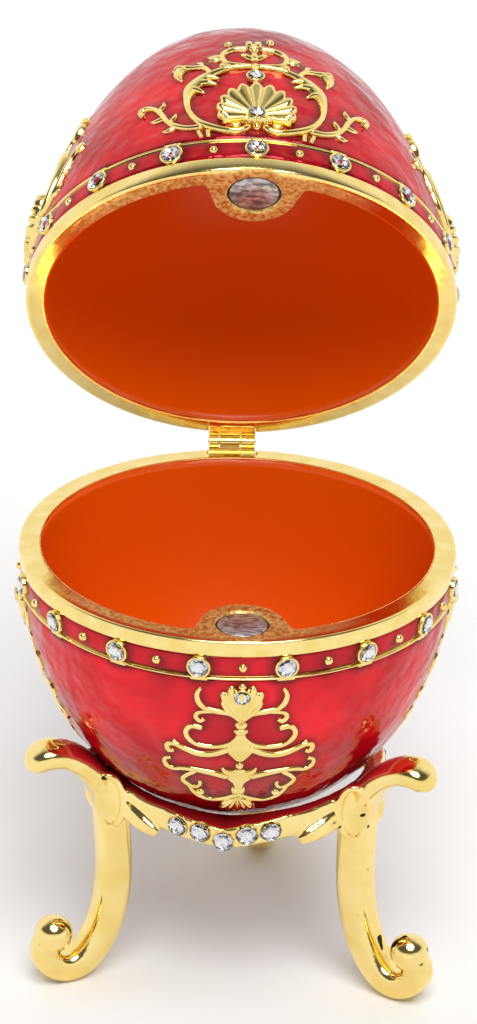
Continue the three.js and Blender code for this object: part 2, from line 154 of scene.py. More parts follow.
def eased(tree, value, start, end, low=0.0, high=1.0):
    """A value brought smoothly from low to high between a start and an end."""
    return add(tree, "ShaderNodeMapRange", {"interpolation_type": "SMOOTHSTEP"}, Value=value,
               From_Min=start, From_Max=end, To_Min=low, To_Max=high).outputs[0]


def mixed(tree, share, first, second, colours=False):
    """Two numbers, or two colours, mixed by a share; each is a socket or a constant."""
    a, b, result = ("i6", "i7", 2) if colours else ("i2", "i3", 0)
    return add(tree, "ShaderNodeMix", {"data_type": "RGBA" if colours else "FLOAT"},
               **{"i0": share, a: first, b: second}).outputs[result]


def full_turn(count):
    """Angles spaced evenly round a circle."""
    return np.linspace(0, 2 * math.pi, count, endpoint=False)


def grid(rows, columns, around=False, over=False):
    """The quads of a grid of points, joined round its columns or over its rows where asked."""
    i = np.arange(rows if over else rows - 1)[:, None]
    j = np.arange(columns if around else columns - 1)[None, :]
    k, m = (i + 1) % rows, (j + 1) % columns
    corners = [i * columns + j, i * columns + m, k * columns + m, k * columns + j]
    return np.stack([c + 0 * i + 0 * j for c in corners], -1).reshape(-1, 4)


def outward(points, faces):
    """The faces of a closed skin, all turned over if its signed volume comes out negative."""
    corners = np.concatenate([f[:, [0, k, k + 1]] for f in faces for k in range(1, f.shape[1] - 1)])
    a, b, c = (points[corners[:, k]] for k in range(3))
    volume = np.einsum("ij,ij->i", a, np.cross(b, c)).sum()
    return [f[:, ::-1] for f in faces] if volume < 0 else faces


def skin(rings, hoop=False):
    """A closed skin through rings of points, given as (rings, points, 3), with both ends drawn
    to their middle points; a hoop's last ring joins its first instead."""
    count, around = rings.shape[:2]
    points = rings.reshape(-1, 3)
    if hoop:
        return points, outward(points, [grid(count, around, True, True)])
    points = np.concatenate([points, rings[0].mean(0)[None], rings[-1].mean(0)[None]])
    j = np.arange(around)
    n = (j + 1) % around
    last = (count - 1) * around
    start = np.stack([n, j, np.full(around, count * around)], -1)
    end = np.stack([last + j, last + n, np.full(around, count * around + 1)], -1)
    return points, outward(points, [grid(count, around, True), np.concatenate([start, end])])


def joined(parts):
    """Several skins as one set of points and faces."""
    points, faces, offset = [], [], 0
    for part_points, part_faces in parts:
        points.append(part_points)
        faces += [f + offset for f in part_faces]
        offset += len(part_points)
    return np.concatenate(points), faces


def piece(name, part, place, finish, smooth=True):
    """Makes an object of a skin, moved by a 4 x 4 place in millimetres and turned to metres."""
    points, faces = part
    points = (points @ place[:3, :3].T + place[:3, 3]) * MM
    mesh = bpy.data.meshes.new(name)
    mesh.vertices.add(len(points))
    mesh.vertices.foreach_set("co", points.astype(np.float32).ravel())
    sizes = np.concatenate([np.full(len(f), f.shape[1]) for f in faces])
    corners = np.concatenate([f.ravel() for f in faces]).astype(np.int32)
    mesh.loops.add(len(corners))
    mesh.loops.foreach_set("vertex_index", corners)
    mesh.polygons.add(len(sizes))
    mesh.polygons.foreach_set("loop_start", (np.cumsum(sizes) - sizes).astype(np.int32))
    mesh.polygons.foreach_set("use_smooth", np.full(len(sizes), smooth))
    mesh.update(calc_edges=True)
    mesh.materials.append(finish)
    made = bpy.data.objects.new(name, mesh)
    bpy.context.scene.collection.objects.link(made)
    return made


FLOOR_HALF = 1500.0
paper, tree, out = material("white_paper_sweep")
surface(tree, out, Base_Color=linear("#F6F6F6"), Roughness=0.9)
corners = FLOOR_HALF * np.array([[-1.0, -1, 0], [1, -1, 0], [1, 1, 0], [-1, 1, 0]])
floor = piece("floor", (corners, [np.array([[0, 1, 2, 3]])]), np.eye(4), paper, smooth=False)

world = bpy.data.worlds.new("photo_studio")
bpy.context.scene.world = world
world.use_nodes = True
tree = world.node_tree
tree.nodes.clear()
coordinate = add(tree, "ShaderNodeTexCoord")
split = add(tree, "ShaderNodeSeparateXYZ", Vector=coordinate.outputs["Generated"])
behind = eased(tree, split.outputs["Y"], -0.1, 0.35)
dim_above = eased(tree, split.outputs["Z"], 0.22, 0.42, 1.0, 0.1)
sweep_above = eased(tree, split.outputs["Z"], 0.72, 0.95, 1.0, 0.55)
background = add(tree, "ShaderNodeBackground", Color=linear("#FFFFFF"),
                 Strength=mixed(tree, behind, dim_above, sweep_above))
tree.links.new(background.outputs[0], add(tree, "ShaderNodeOutputWorld").inputs[0])

softbox = bpy.data.lights.new("softbox_over_camera", "SUN")
softbox.angle = math.radians(40)
softbox.energy = 2.3
lamp = bpy.data.objects.new("softbox_over_camera", softbox)
bpy.context.scene.collection.objects.link(lamp)
lamp.rotation_euler = Vector((-0.08, 0.47, -0.88)).to_track_quat("-Z", "Y").to_euler()


# ---------------------------------------------------------------------------------------------
# The two cast shells. Each is a thin hollow casting of zinc alloy, gold plated: its rim is
# polished flat, a raised line closes the enamelled band below it, and a boss inside the front
# wall, drawn down into the wall like a spout, holds the closing magnet.
BOWL = {"radius": 26.0, "depth": 33.2, "power": 1.96, "roundness": 0.43, "hollow": 30.8, "side": -1}
LID = {"radius": 25.75, "depth": 37.2, "power": 1.55, "roundness": 0.405, "hollow": 34.8, "side": 1}
RIM_INNER = 23.4
RIM_TALL, BAND_END, LINE_TALL = 2.0, 4.7, 0.38
RECESS = 0.3  # how deep the cast floor lies under the enamel
BOSS_REACH, BOSS_RADIUS, BOSS_DEPTH = 21.3, 5.0, 12.0
MAGNET_RADIUS, MAGNET_THICK, POCKET_RADIUS, POCKET_DEEP = 2.9, 2.0, 3.2, 2.3
AROUND = 384
NOTCH_HALF, NOTCH_WIDE = 0.38, 2.93  # of the notch that takes a hinge leaf
HALVES = [("bowl", BOWL, EGG, 0.0, "base"), ("lid", LID, OPEN_LID, LID_TURN, "lid")]


def outer_radius(shell, depth):
    """The radius of a shell's form at a depth from its rim."""
    base = 1 - (np.asarray(depth, float) / shell["depth"]) ** shell["power"]
    return shell["radius"] * np.clip(base, 0, 1) ** shell["roundness"]


for shell in (BOWL, LID):
    sweep = np.linspace(0, math.pi / 2, 1200)
    depth = shell["depth"] * np.sin(sweep)
    radius = outer_radius(shell, depth)
    steps = np.hypot(np.diff(radius), np.diff(depth))
    shell["table"] = (np.concatenate([[0], np.cumsum(steps)]), radius, depth,
                      np.arctan2(-np.gradient(radius), np.gradient(depth)))


def on_shell(shell, azimuth, across, along, lift):
    """Points on a shell: an angle round from the front, millimetres across from there and along
    the profile from the rim, and a lift along the normal. The angle of a point is the azimuth
    plus across over the local radius."""
    lengths, radii, depths, slopes = shell["table"]
    radius = np.interp(along, lengths, radii)
    depth = np.interp(along, lengths, depths)
    slope = np.interp(along, lengths, slopes)
    turn = azimuth + across / np.maximum(radius, 1e-3)
    reach = radius + lift * np.cos(slope)
    height = shell["side"] * (depth + lift * np.sin(slope))
    return np.stack([reach * np.sin(turn), -reach * np.cos(turn), height + 0 * turn], -1)


def wall_radius(shell, turn, depth, back_off):
    """Inner radius of the wall with its boss: where the smooth union of the wall and of the
    boss's disc, which shrinks into the wall with depth, is met going outwards."""
    wall = RIM_INNER * np.clip(1 - (depth / shell["hollow"]) ** 2, 1e-6, 1) ** 0.45 + back_off
    fade = np.clip(depth / BOSS_DEPTH, 0, 1)
    reach = BOSS_REACH + 2.6 * fade ** 2
    disc = (BOSS_RADIUS - back_off) * np.sqrt(1 - 0.999 * fade ** 2) - 1.2 * fade
    low, high = 0 * turn + 0 * depth + 8.0, 0 * turn + wall
    blend = 2.2
    for _ in range(26):
        middle = (low + high) / 2
        x, y = middle * np.sin(turn), middle * np.cos(turn) - reach
        from_disc = np.hypot(x, y) - disc
        from_wall = wall - middle
        share = np.clip(0.5 + 0.5 * (from_wall - from_disc) / blend, 0, 1)
        inside = from_disc * share + from_wall * (1 - share) - blend * share * (1 - share)
        low, high = np.where(inside > 0, middle, low), np.where(inside > 0, high, middle)
    deep = depth > BOSS_DEPTH
    return np.where(deep, wall, np.minimum(high, wall))


def ring_points(radius, turn, height):
    """Points round the axis, at angles from the front."""
    return np.stack([radius * np.sin(turn), -radius * np.cos(turn), height + 0 * turn], -1)


def casting(shell, azimuth):
    """The hollow casting as one closed skin: floor under the enamel, raised line, band floor,
    rim and inner wall, from the outer end to the inner end."""
    turn = full_turn(AROUND)
    end = BAND_END + LINE_TALL
    sweep = np.linspace(math.pi / 2 - 0.02, math.asin((end + 0.15) / shell["depth"]), 24)
    depth = shell["depth"] * np.sin(sweep)
    slope = np.interp(depth, shell["table"][2], shell["table"][3])
    sunk = outer_radius(shell, depth) - RECESS * np.cos(slope)
    profile = list(zip(sunk, depth - RECESS * np.sin(slope)))
    line = float(outer_radius(shell, BAND_END + LINE_TALL / 2))
    crest = np.linspace(0, math.pi, 9)
    profile += [(line - RECESS + 0.46 * math.sin(a) ** 0.7,
                 BAND_END + LINE_TALL / 2 + LINE_TALL / 2 * math.cos(a)) for a in crest]
    rim = shell["radius"]
    profile += [(rim - RECESS - 0.05, BAND_END - 0.1), (rim - RECESS - 0.05, RIM_TALL + 0.05)]
    round_off = np.radians([0, 30, 60, 90])
    profile += [(rim - 0.25 + 0.25 * math.sin(a), RIM_TALL - 0.25 + 0.25 * math.cos(a))
                for a in round_off]
    profile += [(rim + 0.05, 1.0)]
    profile += [(rim - 0.3 + 0.3 * math.cos(a), 0.3 - 0.3 * math.sin(a)) for a in round_off]
    rings = [ring_points(r, turn, shell["side"] * d) for r, d in profile]
    inner = wall_radius(shell, turn - azimuth, np.full(AROUND, 0.05), 0.0)
    for share in np.linspace(0.1, 0.97, 8):
        rings.append(ring_points((rim - 0.3) * (1 - share) + inner * share, turn, 0.0))
    down = shell["hollow"] * np.sin(np.linspace(0.03, 1.55, 30))
    for depth in np.concatenate([[0.03, 0.12, 0.3], down]):
        back_off = 0.12 if depth > 0.2 else 0.02
        radius = wall_radius(shell, turn - azimuth, np.full(AROUND, depth), back_off)
        rings.append(ring_points(radius, turn, shell["side"] * depth))
    return skin(np.array(rings))


def rod_steps(radius, start, end, bevel):
    """Radius and place of the four rings of a rod whose ends are bevelled."""
    return [(radius - bevel, start), (radius, start + bevel), (radius, end - bevel),
            (radius - bevel, end)]


def disc_at(shell, radius, low, high, azimuth, segments=64, bevel=0.15):
    """A round disc on the boss's place between two depths, its edges taken off."""
    turn = full_turn(segments)
    rings = [np.stack([r * np.cos(turn), r * np.sin(turn) - BOSS_REACH,
                       shell["side"] * depth + 0 * turn], -1)
             for r, depth in rod_steps(radius, low, high, bevel)]
    points, faces = skin(np.array(rings))
    return points @ turn_about("z", azimuth)[:3, :3].T, faces


def box_part(low, high):
    """A box between two corners."""
    x, y, z = np.array([low, high]).T
    rings = np.array([[[x[i], y[j], h] for i, j in ((0, 0), (1, 0), (1, 1), (0, 1))] for h in z])
    return skin(rings)


def applied(target):
    """Puts a piece's modifiers into its mesh, and gives the new mesh."""
    depsgraph = bpy.context.evaluated_depsgraph_get()
    result = bpy.data.meshes.new_from_object(target.evaluated_get(depsgraph))
    target.modifiers.clear()
    old, target.data = target.data, result
    bpy.data.meshes.remove(old)
    return result


def cut(target, cutters):
    """Takes cutters out of a piece and keeps the result as its mesh."""
    for cutter in cutters:
        modifier = target.modifiers.new("cut", "BOOLEAN")
        modifier.operation, modifier.solver, modifier.object = "DIFFERENCE", "EXACT", cutter
    applied(target)
    for cutter in cutters:
        bpy.data.objects.remove(cutter)


def vertex_values(mesh, what):
    """The places or normals of a mesh's vertices, one row each."""
    values = np.empty(3 * len(mesh.vertices), np.float32)
    mesh.vertices.foreach_get(what, values)
    return values.reshape(-1, 3)


def mark(mesh, name, values):
    """Keeps one number per vertex as a named point attribute."""
    mesh.attributes.new(name, "FLOAT", "POINT").data.foreach_set("value", values.astype(np.float32))


def bump(tree, height, strength, distance, **under):
    """A bump's normal, over another normal where one is given."""
    return add(tree, "ShaderNodeBump", Height=height, Strength=strength, Distance=distance,
               **under).outputs[0]


def noise(tree, where, scale, detail):
    """The value of a noise texture."""
    return add(tree, "ShaderNodeTexNoise", Vector=where, Scale=scale, Detail=detail).outputs["Fac"]


def ramp(tree, value, low, high, dark, pale):
    """A colour that goes from dark to pale, both sRGB hex, as a value goes from low to high."""
    node = add(tree, "ShaderNodeValToRGB", Fac=value)
    for element, position, colour in zip(node.color_ramp.elements, (low, high), (dark, pale)):
        element.position, element.color = position, linear(colour)
    return node.outputs["Color"]


def ranged(tree, value, low, high):
    """A value from 0 to 1 spread over another range."""
    return add(tree, "ShaderNodeMapRange", Value=value, To_Min=low, To_Max=high).outputs[0]


def attribute(tree, name):
    """A point attribute's value."""
    return add(tree, "ShaderNodeAttribute", {"attribute_name": name}).outputs["Fac"]


# Gold plate over polished zinc: pale and mirror bright, a little wavy from hand polishing, its
# polish uneven at a fine scale. Where it was filed rough it is dull and stained brown.
gold_plate, tree, out = material("gold_plate_on_zinc")
where = add(tree, "ShaderNodeTexCoord").outputs["Object"]
waves = noise(tree, where, 420.0, 2.0)
grit = noise(tree, where, 1900.0, 5.0)
filed = attribute(tree, "rough")
tone = ramp(tree, waves, 0.35, 0.65, "#F4D882", "#FCE499")
smear = ramp(tree, grit, 0.38, 0.6, "#C87A22", "#F0D080")
polish = ranged(tree, noise(tree, where, 2600.0, 3.0), 0.07, 0.2)
gritty = add(tree, "ShaderNodeMath", {"operation": "MULTIPLY"}, i0=grit, i1=filed).outputs[0]
surface(tree, out, Base_Color=mixed(tree, filed, tone, smear, colours=True),
        Metallic=ranged(tree, filed, 1.0, 0.7), Roughness=mixed(tree, filed, polish, 0.42),
        Normal=bump(tree, gritty, 0.6, 0.0002, Normal=bump(tree, waves, 0.12, 0.0002)))


def rough_up(made, place, azimuth):
    """Marks the boss's face, and the flat of the rim beside it, as filed rough: 1 on the boss,
    fading round the rim, as a point attribute."""
    back = np.linalg.inv(place @ turn_about("z", azimuth))
    points = vertex_values(made.data, "co") / MM @ back[:3, :3].T + back[:3, 3]
    reach = np.hypot(points[:, 0], points[:, 1])
    turn = np.degrees(np.arctan2(points[:, 0], -points[:, 1]))
    flat = (np.abs(points[:, 2]) < 0.25) & (reach < 25.75)
    beside = np.clip((50 - np.abs(turn + 12)) / 25, 0, 1) * np.clip((25.5 - reach) / 0.8, 0, 1)
    on_boss = np.clip((4.9 - np.hypot(points[:, 0], points[:, 1] + BOSS_REACH)) / 0.3, 0, 1)
    mark(made.data, "rough", flat * np.maximum(beside, on_boss))


for name, shell, place, azimuth, body in HALVES:
    made = piece(name + "_casting", casting(shell, azimuth), place, gold_plate)
    pocket = disc_at(shell, POCKET_RADIUS, -1.0, POCKET_DEEP, azimuth)
    side = shell["side"]
    leaf_middle = -HINGE_RISE - 0.4 if name == "bowl" else CLOSED_GAP - HINGE_RISE + 0.4
    notch_low = min(leaf_middle - NOTCH_HALF, leaf_middle - NOTCH_HALF - side * 1.0)
    notch_high = max(leaf_middle + NOTCH_HALF, leaf_middle + NOTCH_HALF - side * 1.0)
    notch = box_part((-NOTCH_WIDE, -3.2, notch_low), (NOTCH_WIDE, 2.0, notch_high))
    hinge_place = HINGE if name == "bowl" else SWUNG
    cut(made, [piece("pocket", pocket, place, gold_plate),
               piece("notch", notch, hinge_place, gold_plate)])
    rough_up(made, place, azimuth)
    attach(made, body)
    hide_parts(name)


# ---------------------------------------------------------------------------------------------
# Cast relief. The scrolls, leaves and palmettes are part of each casting and stand above the
# enamel: round-backed and high on the lid, flatter and crisper on the bowl. A stroke runs
# through points given as across, along and half width, from the middle line of its motif.
def curve(points, count):
    """A smooth run through points: on each span a cubic with the slopes of its neighbours."""
    points = np.array(points, float)
    before, after = 2 * points[:1] - points[1:2], 2 * points[-1:] - points[-2:-1]
    padded = np.concatenate([before, points, after])
    place = np.linspace(0, len(points) - 1 - 1e-9, count)
    k = place.astype(int)
    f = (place - k)[:, None]
    p0, p1, p2, p3 = (padded[k + i] for i in range(4))
    bend = 2 * p0 - 5 * p1 + 4 * p2 - p3 + f * (3 * (p1 - p2) + p3 - p0)
    return p1 + 0.5 * f * (p2 - p0 + f * bend)


def stroke(shell, azimuth, places, lift, mirror=1, crispness=0.75, groove=0.0):
    """A raised stroke: at each place its section is an arch, lift * sin(a) ** crispness high."""
    length = sum(math.dist(a[:2], b[:2]) for a, b in zip(places, places[1:]))
    run = curve(places, max(8, int(length / 0.28)))
    run[:, 2] = np.maximum(run[:, 2], 0.06)
    slope = np.gradient(run[:, :2], axis=0)
    slope /= np.linalg.norm(slope, axis=1, keepdims=True)
    arch = np.linspace(0, math.pi, 9)
    offset = np.concatenate([[1.08], np.cos(arch), [-1.08]])[None, :] * run[:, 2:3]
    rise = np.sin(arch) ** crispness * (1 - groove * np.exp(-(np.cos(arch) / 0.3) ** 2))
    full = np.clip(run[:, 2:3] / 0.4, 0.35, 1.0) * lift
    height = np.concatenate([-0.4 + 0 * full, full * rise[None, :], -0.4 + 0 * full], 1)
    across = mirror * (run[:, :1] - offset * slope[:, 1:2])
    along = run[:, 1:2] + offset * slope[:, :1]
    return skin(on_shell(shell, azimuth, across, along, height))


def fan(shell, azimuth, centre, outline, height, upward, rows=16, columns=128):
    """A raised patch round a centre: outline(angle) is its reach, height(angle, share) its
    lift, with the angle measured from the direction away from the rim, or to it."""
    angle = np.linspace(-math.pi, math.pi, columns, endpoint=False)[None, :]
    share = np.concatenate([np.linspace(0.03, 1, rows), [1.0]])[:, None]
    lift = height(angle, share)
    lift[-1] = -0.4
    reach = outline(angle) * share
    across = centre[0] + reach * np.sin(angle)
    along = centre[1] + upward * reach * np.cos(angle)
    return skin(on_shell(shell, azimuth, across, along, lift))


def frame_at(shell, azimuth, across, along, lift):
    """The 4 x 4 place of a point lifted off the shell: across, along and the normal."""
    at = on_shell(shell, azimuth, np.array(across), np.array(along), np.array(lift))
    normal = on_shell(shell, azimuth, np.array(across), np.array(along), np.array(lift + 1.0)) - at
    normal /= np.linalg.norm(normal)
    beyond = on_shell(shell, azimuth, np.array(across), np.array(along + 0.2), np.array(lift)) - at
    side = np.cross(beyond, normal)
    side /= np.linalg.norm(side)
    made = np.eye(4)
    made[:3, :3] = np.stack([side, np.cross(normal, side), normal], 1)
    made[:3, 3] = at
    return made


def turned(profile, segments=40):
    """A closed skin turned round the third axis from pairs of radius and height."""
    turn = full_turn(segments)
    return skin(np.array([np.stack([r * np.cos(turn), r * np.sin(turn), h + 0 * turn], -1)
                          for r, h in profile]))


def set_at(part, place, scale=1.0):
    """A skin scaled and moved by a 4 x 4 place."""
    points, faces = part
    return (points * scale) @ place[:3, :3].T + place[:3, 3], faces


def dome(radius, rise):
    """A bead's rounded head on a short root."""
    quarter = np.linspace(0.05, math.pi / 2, 9)
    crown = [(radius * math.sin(a), rise * math.cos(a)) for a in quarter]
    return turned(crown + [(radius, -0.5)], 28)


ring_arc = np.radians(np.arange(-10, 191, 20))
SETTING = turned([(0.05, -0.6), (1.55, -0.6), (1.44, 0.05)]
                 + [(1.27 + 0.15 * math.cos(a), 0.38 + 0.15 * math.sin(a)) for a in ring_arc]
                 + [(1.1, 0.14), (0.05, 0.14)], 48)
BEAD = dome(0.55, 0.62)
BAND_MIDDLE = 3.4
SMALL_STONE = 0.8  # a motif's stone against a band's
STONE_PITCH = math.radians(22.5)
SETTING_LIFT = -0.15  # the band's settings stand in its recess
LID_FOCUS = 8.9  # where the scallop's flutes meet, along from the rim
BOWL_FANS = [(10.8, 5, 38, 5.4, -1), (24.9, 5, 34, 5.0, 1)]  # along, petals, spread, reach, side
MOTIF_STONES = {1: [(LID_FOCUS, 0.55), (17.0, 0.1)], -1: [(7.0, 0.4)]}  # along and lift

LID_STROKES = [
    # the wreath, thickening into acanthus near its top
    (0.85, [(0.2, 19.5, 0.3), (3, 19, 0.34), (5, 17.9, 0.42), (6.5, 16.7, 0.75), (7.7, 15.1, 0.8),
            (8.1, 12.9, 0.5), (7.9, 10.7, 0.4), (7.1, 8.8, 0.42), (6, 7.6, 0.45), (4.2, 6.6, 0.42),
            (2.5, 6.2, 0.4), (1.2, 6.7, 0.4), (0.9, 7.7, 0.35)]),
    (0.8, [(6.6, 17, 0.5), (5.4, 17.2, 0.45), (4.2, 16.8, 0.12)]),
    (0.8, [(7.2, 16.2, 0.5), (5.8, 16.1, 0.45), (4.5, 15.6, 0.12)]),
    (0.8, [(7.7, 15.1, 0.5), (6.9, 14.7, 0.4), (6.0, 14, 0.12)]),
    # the outer stem and the leaf it ends in
    (0.7, [(5.2, 17.5, 0.4), (5.6, 19, 0.35), (6.2, 19.8, 0.33), (7.6, 20.2, 0.33),
           (8.7, 20.4, 0.5)]),
    (0.8, [(8.2, 20.3, 0.3), (9.0, 19.5, 0.62), (9.2, 18.6, 0.5), (8.7, 17.3, 0.1)]),
    (0.8, [(8.4, 20.3, 0.35), (9.2, 20.6, 0.4), (9.9, 20.2, 0.1)]),
    (0.6, [(6.4, 20, 0.3), (6.3, 20.8, 0.3), (6.9, 21.4, 0.1)]),
    # the garland that swings out from the foot of the wreath
    (0.7, [(6.3, 7.4, 0.4), (8, 7.5, 0.35), (9.6, 8.3, 0.4), (10.6, 9.6, 0.36), (11.3, 11.2, 0.4),
           (12.2, 12.6, 0.34), (13.3, 13.2, 0.36), (14.0, 12.7, 0.4), (13.7, 11.9, 0.35)]),
    (0.6, [(9.4, 8.3, 0.3), (10.5, 7.7, 0.3), (11.2, 7.9, 0.1)]),
    (0.6, [(10.9, 10.4, 0.3), (12.0, 10.1, 0.3), (12.7, 10.3, 0.1)]),
    (0.6, [(10.3, 9.1, 0.3), (9.6, 10.1, 0.3), (9.5, 10.8, 0.1)]),
    (0.6, [(11.7, 11.9, 0.3), (11.0, 12.9, 0.3), (11.1, 13.7, 0.1)]),
    (0.6, [(5.7, 6.8, 0.3), (5.6, 5.6, 0.28)]),
    (0.6, [(6.8, 6.8, 0.3), (6.4, 5.6, 0.28)]),
    (0.7, [(1.0, 8, 0.3), (2.0, 8.5, 0.4), (2.9, 8, 0.42), (2.6, 7.2, 0.36), (1.9, 7.4, 0.3)]),
    # the lyre above
    (0.7, [(0.2, 19.6, 0.3), (1.8, 19.7, 0.34), (3.2, 20.2, 0.36), (3.8, 21.8, 0.36),
           (3.5, 23.1, 0.36), (2.3, 24, 0.36), (0.8, 24.2, 0.4)]),
    (0.7, [(3.2, 20.3, 0.3), (3.9, 19.7, 0.34), (3.4, 19.3, 0.3)]),
    (0.6, [(3.8, 22.2, 0.3), (4.6, 22, 0.4), (5.6, 22.4, 0.1)]),
    (0.6, [(3.8, 22.1, 0.3), (4.7, 21.6, 0.4), (5.4, 21.2, 0.1)]),
    (0.6, [(3.8, 21.9, 0.3), (4.4, 21.4, 0.3), (4.8, 21, 0.1)]),
    (0.6, [(0.0, 21.2, 0.2), (0.9, 22, 0.4), (1.6, 22.8, 0.1)]),
    (0.6, [(0.0, 24.9, 0.2), (0.6, 25.7, 0.45), (0.1, 26.7, 0.1)]),
]
LID_MIDDLES = [
    (0.7, [(0, 14.7, 0.3), (0, 16.5, 0.35)]),
    (0.7, [(0, 17.9, 0.35), (0, 19.7, 0.4)]),
    (0.6, [(0, 21.1, 0.15), (0, 22, 0.5), (0, 23.3, 0.1)]),
    (0.7, [(0, 23.8, 0.6), (0, 24.8, 0.5), (0, 25.2, 0.2)]),
    (0.8, [(0, 6.5, 0.2), (0, 7.3, 0.55), (0, 8.3, 0.3)]),
]
LID_BEADS = [(0, 23.6), (-3, 25.6), (2, 26.6), (3.3, 19.5), (-3.3, 19.5), (2.2, 7.6), (-2.2, 7.6)]

BOWL_STROKES = [
    # horns beside the small palmette, with their lower curls
    (0.42, [(0, 10.8, 0.38), (1.2, 9.8, 0.35), (3, 9.5, 0.34), (4.3, 9.1, 0.32), (5, 8.3, 0.35),
            (5.2, 7.2, 0.29), (4.8, 6.3, 0.17)]),
    (0.4, [(3.2, 9.6, 0.25), (4.8, 9.8, 0.27), (5.3, 10.5, 0.29), (4.8, 11.2, 0.27),
           (4.3, 10.8, 0.25)]),
    # the heart of two scrolls
    (0.42, [(0, 12.7, 0.38), (0.5, 13.9, 0.35), (1.4, 14.7, 0.34), (3, 15.2, 0.3),
            (4.8, 15.1, 0.3),
            (6, 14.3, 0.3), (6.4, 13.1, 0.32), (5.8, 12.1, 0.34), (4.5, 12.2, 0.35)]),
    # the long S below it
    (0.42, [(1.0, 15.3, 0.42), (3, 16.4, 0.42), (4.8, 16.6, 0.42), (6.5, 16, 0.35),
            (7.8, 15.4, 0.34),
            (8.6, 15.8, 0.34), (8.4, 16.8, 0.29), (7.8, 16.6, 0.25)]),
    (0.4, [(8.0, 15.5, 0.25), (7.7, 14.8, 0.17)]),
    # the second group: side leaves, arms, hooks and the bottom pair
    (0.42, [(0.2, 20.3, 0.42), (1.5, 19.7, 0.38), (2.0, 19.1, 0.1)]),
    (0.42, [(1.3, 20.8, 0.42), (3.2, 20.1, 0.42), (5, 19.8, 0.35), (6.5, 19.8, 0.34),
            (7.8, 20.2, 0.3),
            (8.7, 19.7, 0.29), (8.9, 18.6, 0.25), (8.2, 18.1, 0.25)]),
    (0.4, [(5.2, 20.2, 0.29), (6.3, 21.4, 0.3), (6.6, 22.3, 0.29), (6.1, 23.2, 0.29),
           (5, 23.7, 0.25),
           (4.5, 22.9, 0.24), (4.6, 22.2, 0.18)]),
    (0.4, [(5.9, 23.4, 0.25), (5.2, 25.1, 0.29), (4.3, 26.3, 0.3), (3, 26.8, 0.3),
           (1.5, 26.2, 0.34),
           (0, 25.1, 0.38)]),
]
BOWL_MIDDLES = [
    (0.5, [(0, 11, 0.5), (0, 11.4, 0.75), (0, 11.9, 0.5)]),
    (0.5, [(0, 12.1, 0.6), (0, 12.5, 0.85), (0, 12.9, 0.5)]),
    (0.45, [(0, 12.9, 0.5), (0, 14.3, 0.9), (0, 15.8, 1.55), (0, 16.9, 0.9), (0, 17.7, 0.15)]),
    (0.45, [(0, 19.1, 0.45), (0, 19.9, 0.8), (0, 21, 1.5), (0, 21.9, 0.8), (0, 23.3, 0.4)]),
    (0.5, [(0, 23.1, 0.7), (0, 23.8, 0.85), (0, 24.5, 0.6)]),
]
BOWL_BEADS = [(0, 18.4), (4.4, 24.7), (-4.4, 24.7)]


def shell_outline(angle):
    """The scallop's reach in degrees from its top, with a scalloped edge of thirteen flutes."""
    degrees = np.degrees(np.abs(angle))
    reach = np.interp(degrees, [0, 30, 60, 90, 112, 130, 180],
                      [5.4, 5.2, 4.8, 4.5, 4.2, 2.2, 1.7])
    return reach * (1 + 0.045 * np.cos(13 * angle * 180 / 125))


def shell_height(angle, share):
    """Dished between a raised hub and a rising rim, with rounded flutes deepening outwards."""
    flutes = np.abs(np.cos(6.5 * angle * 180 / 125))
    fluted = np.clip((125 - np.degrees(np.abs(angle))) / 15, 0, 1)
    body = 0.55 + 0.95 * share ** 1.5 + 0.55 * fluted * share * (flutes ** 0.7 - 0.6)
    return body * np.clip((1 - share) / 0.12, 0, 1) ** 0.5 * 0.62 + body * 0.38


def palmette_outline(petals, spread, reach):
    """The reach of a fan of round petals over a spread to each side of its top, in degrees."""
    def outline(angle):
        degrees = np.degrees(np.abs(angle))
        lobes = np.abs(np.cos(petals * math.pi / 2 * np.degrees(angle) / spread))
        full = reach * (1 - 0.18 * (degrees / spread) ** 2) * (0.8 + 0.2 * lobes ** 0.6)
        return np.where(degrees < spread, full, np.maximum(0.5, full - (degrees - spread) * 0.12))
    return outline


def palmette_height(petals, spread):
    """The lift of that fan: a rib along every petal, falling off at the edge."""
    def height(angle, share):
        ribs = np.abs(np.cos(petals * math.pi / 2 * np.degrees(angle) / spread)) ** 0.6
        return (0.4 + 0.35 * share * ribs + 0.1 * ribs) * (1 - 0.55 * share ** 6) + 0 * share
    return height


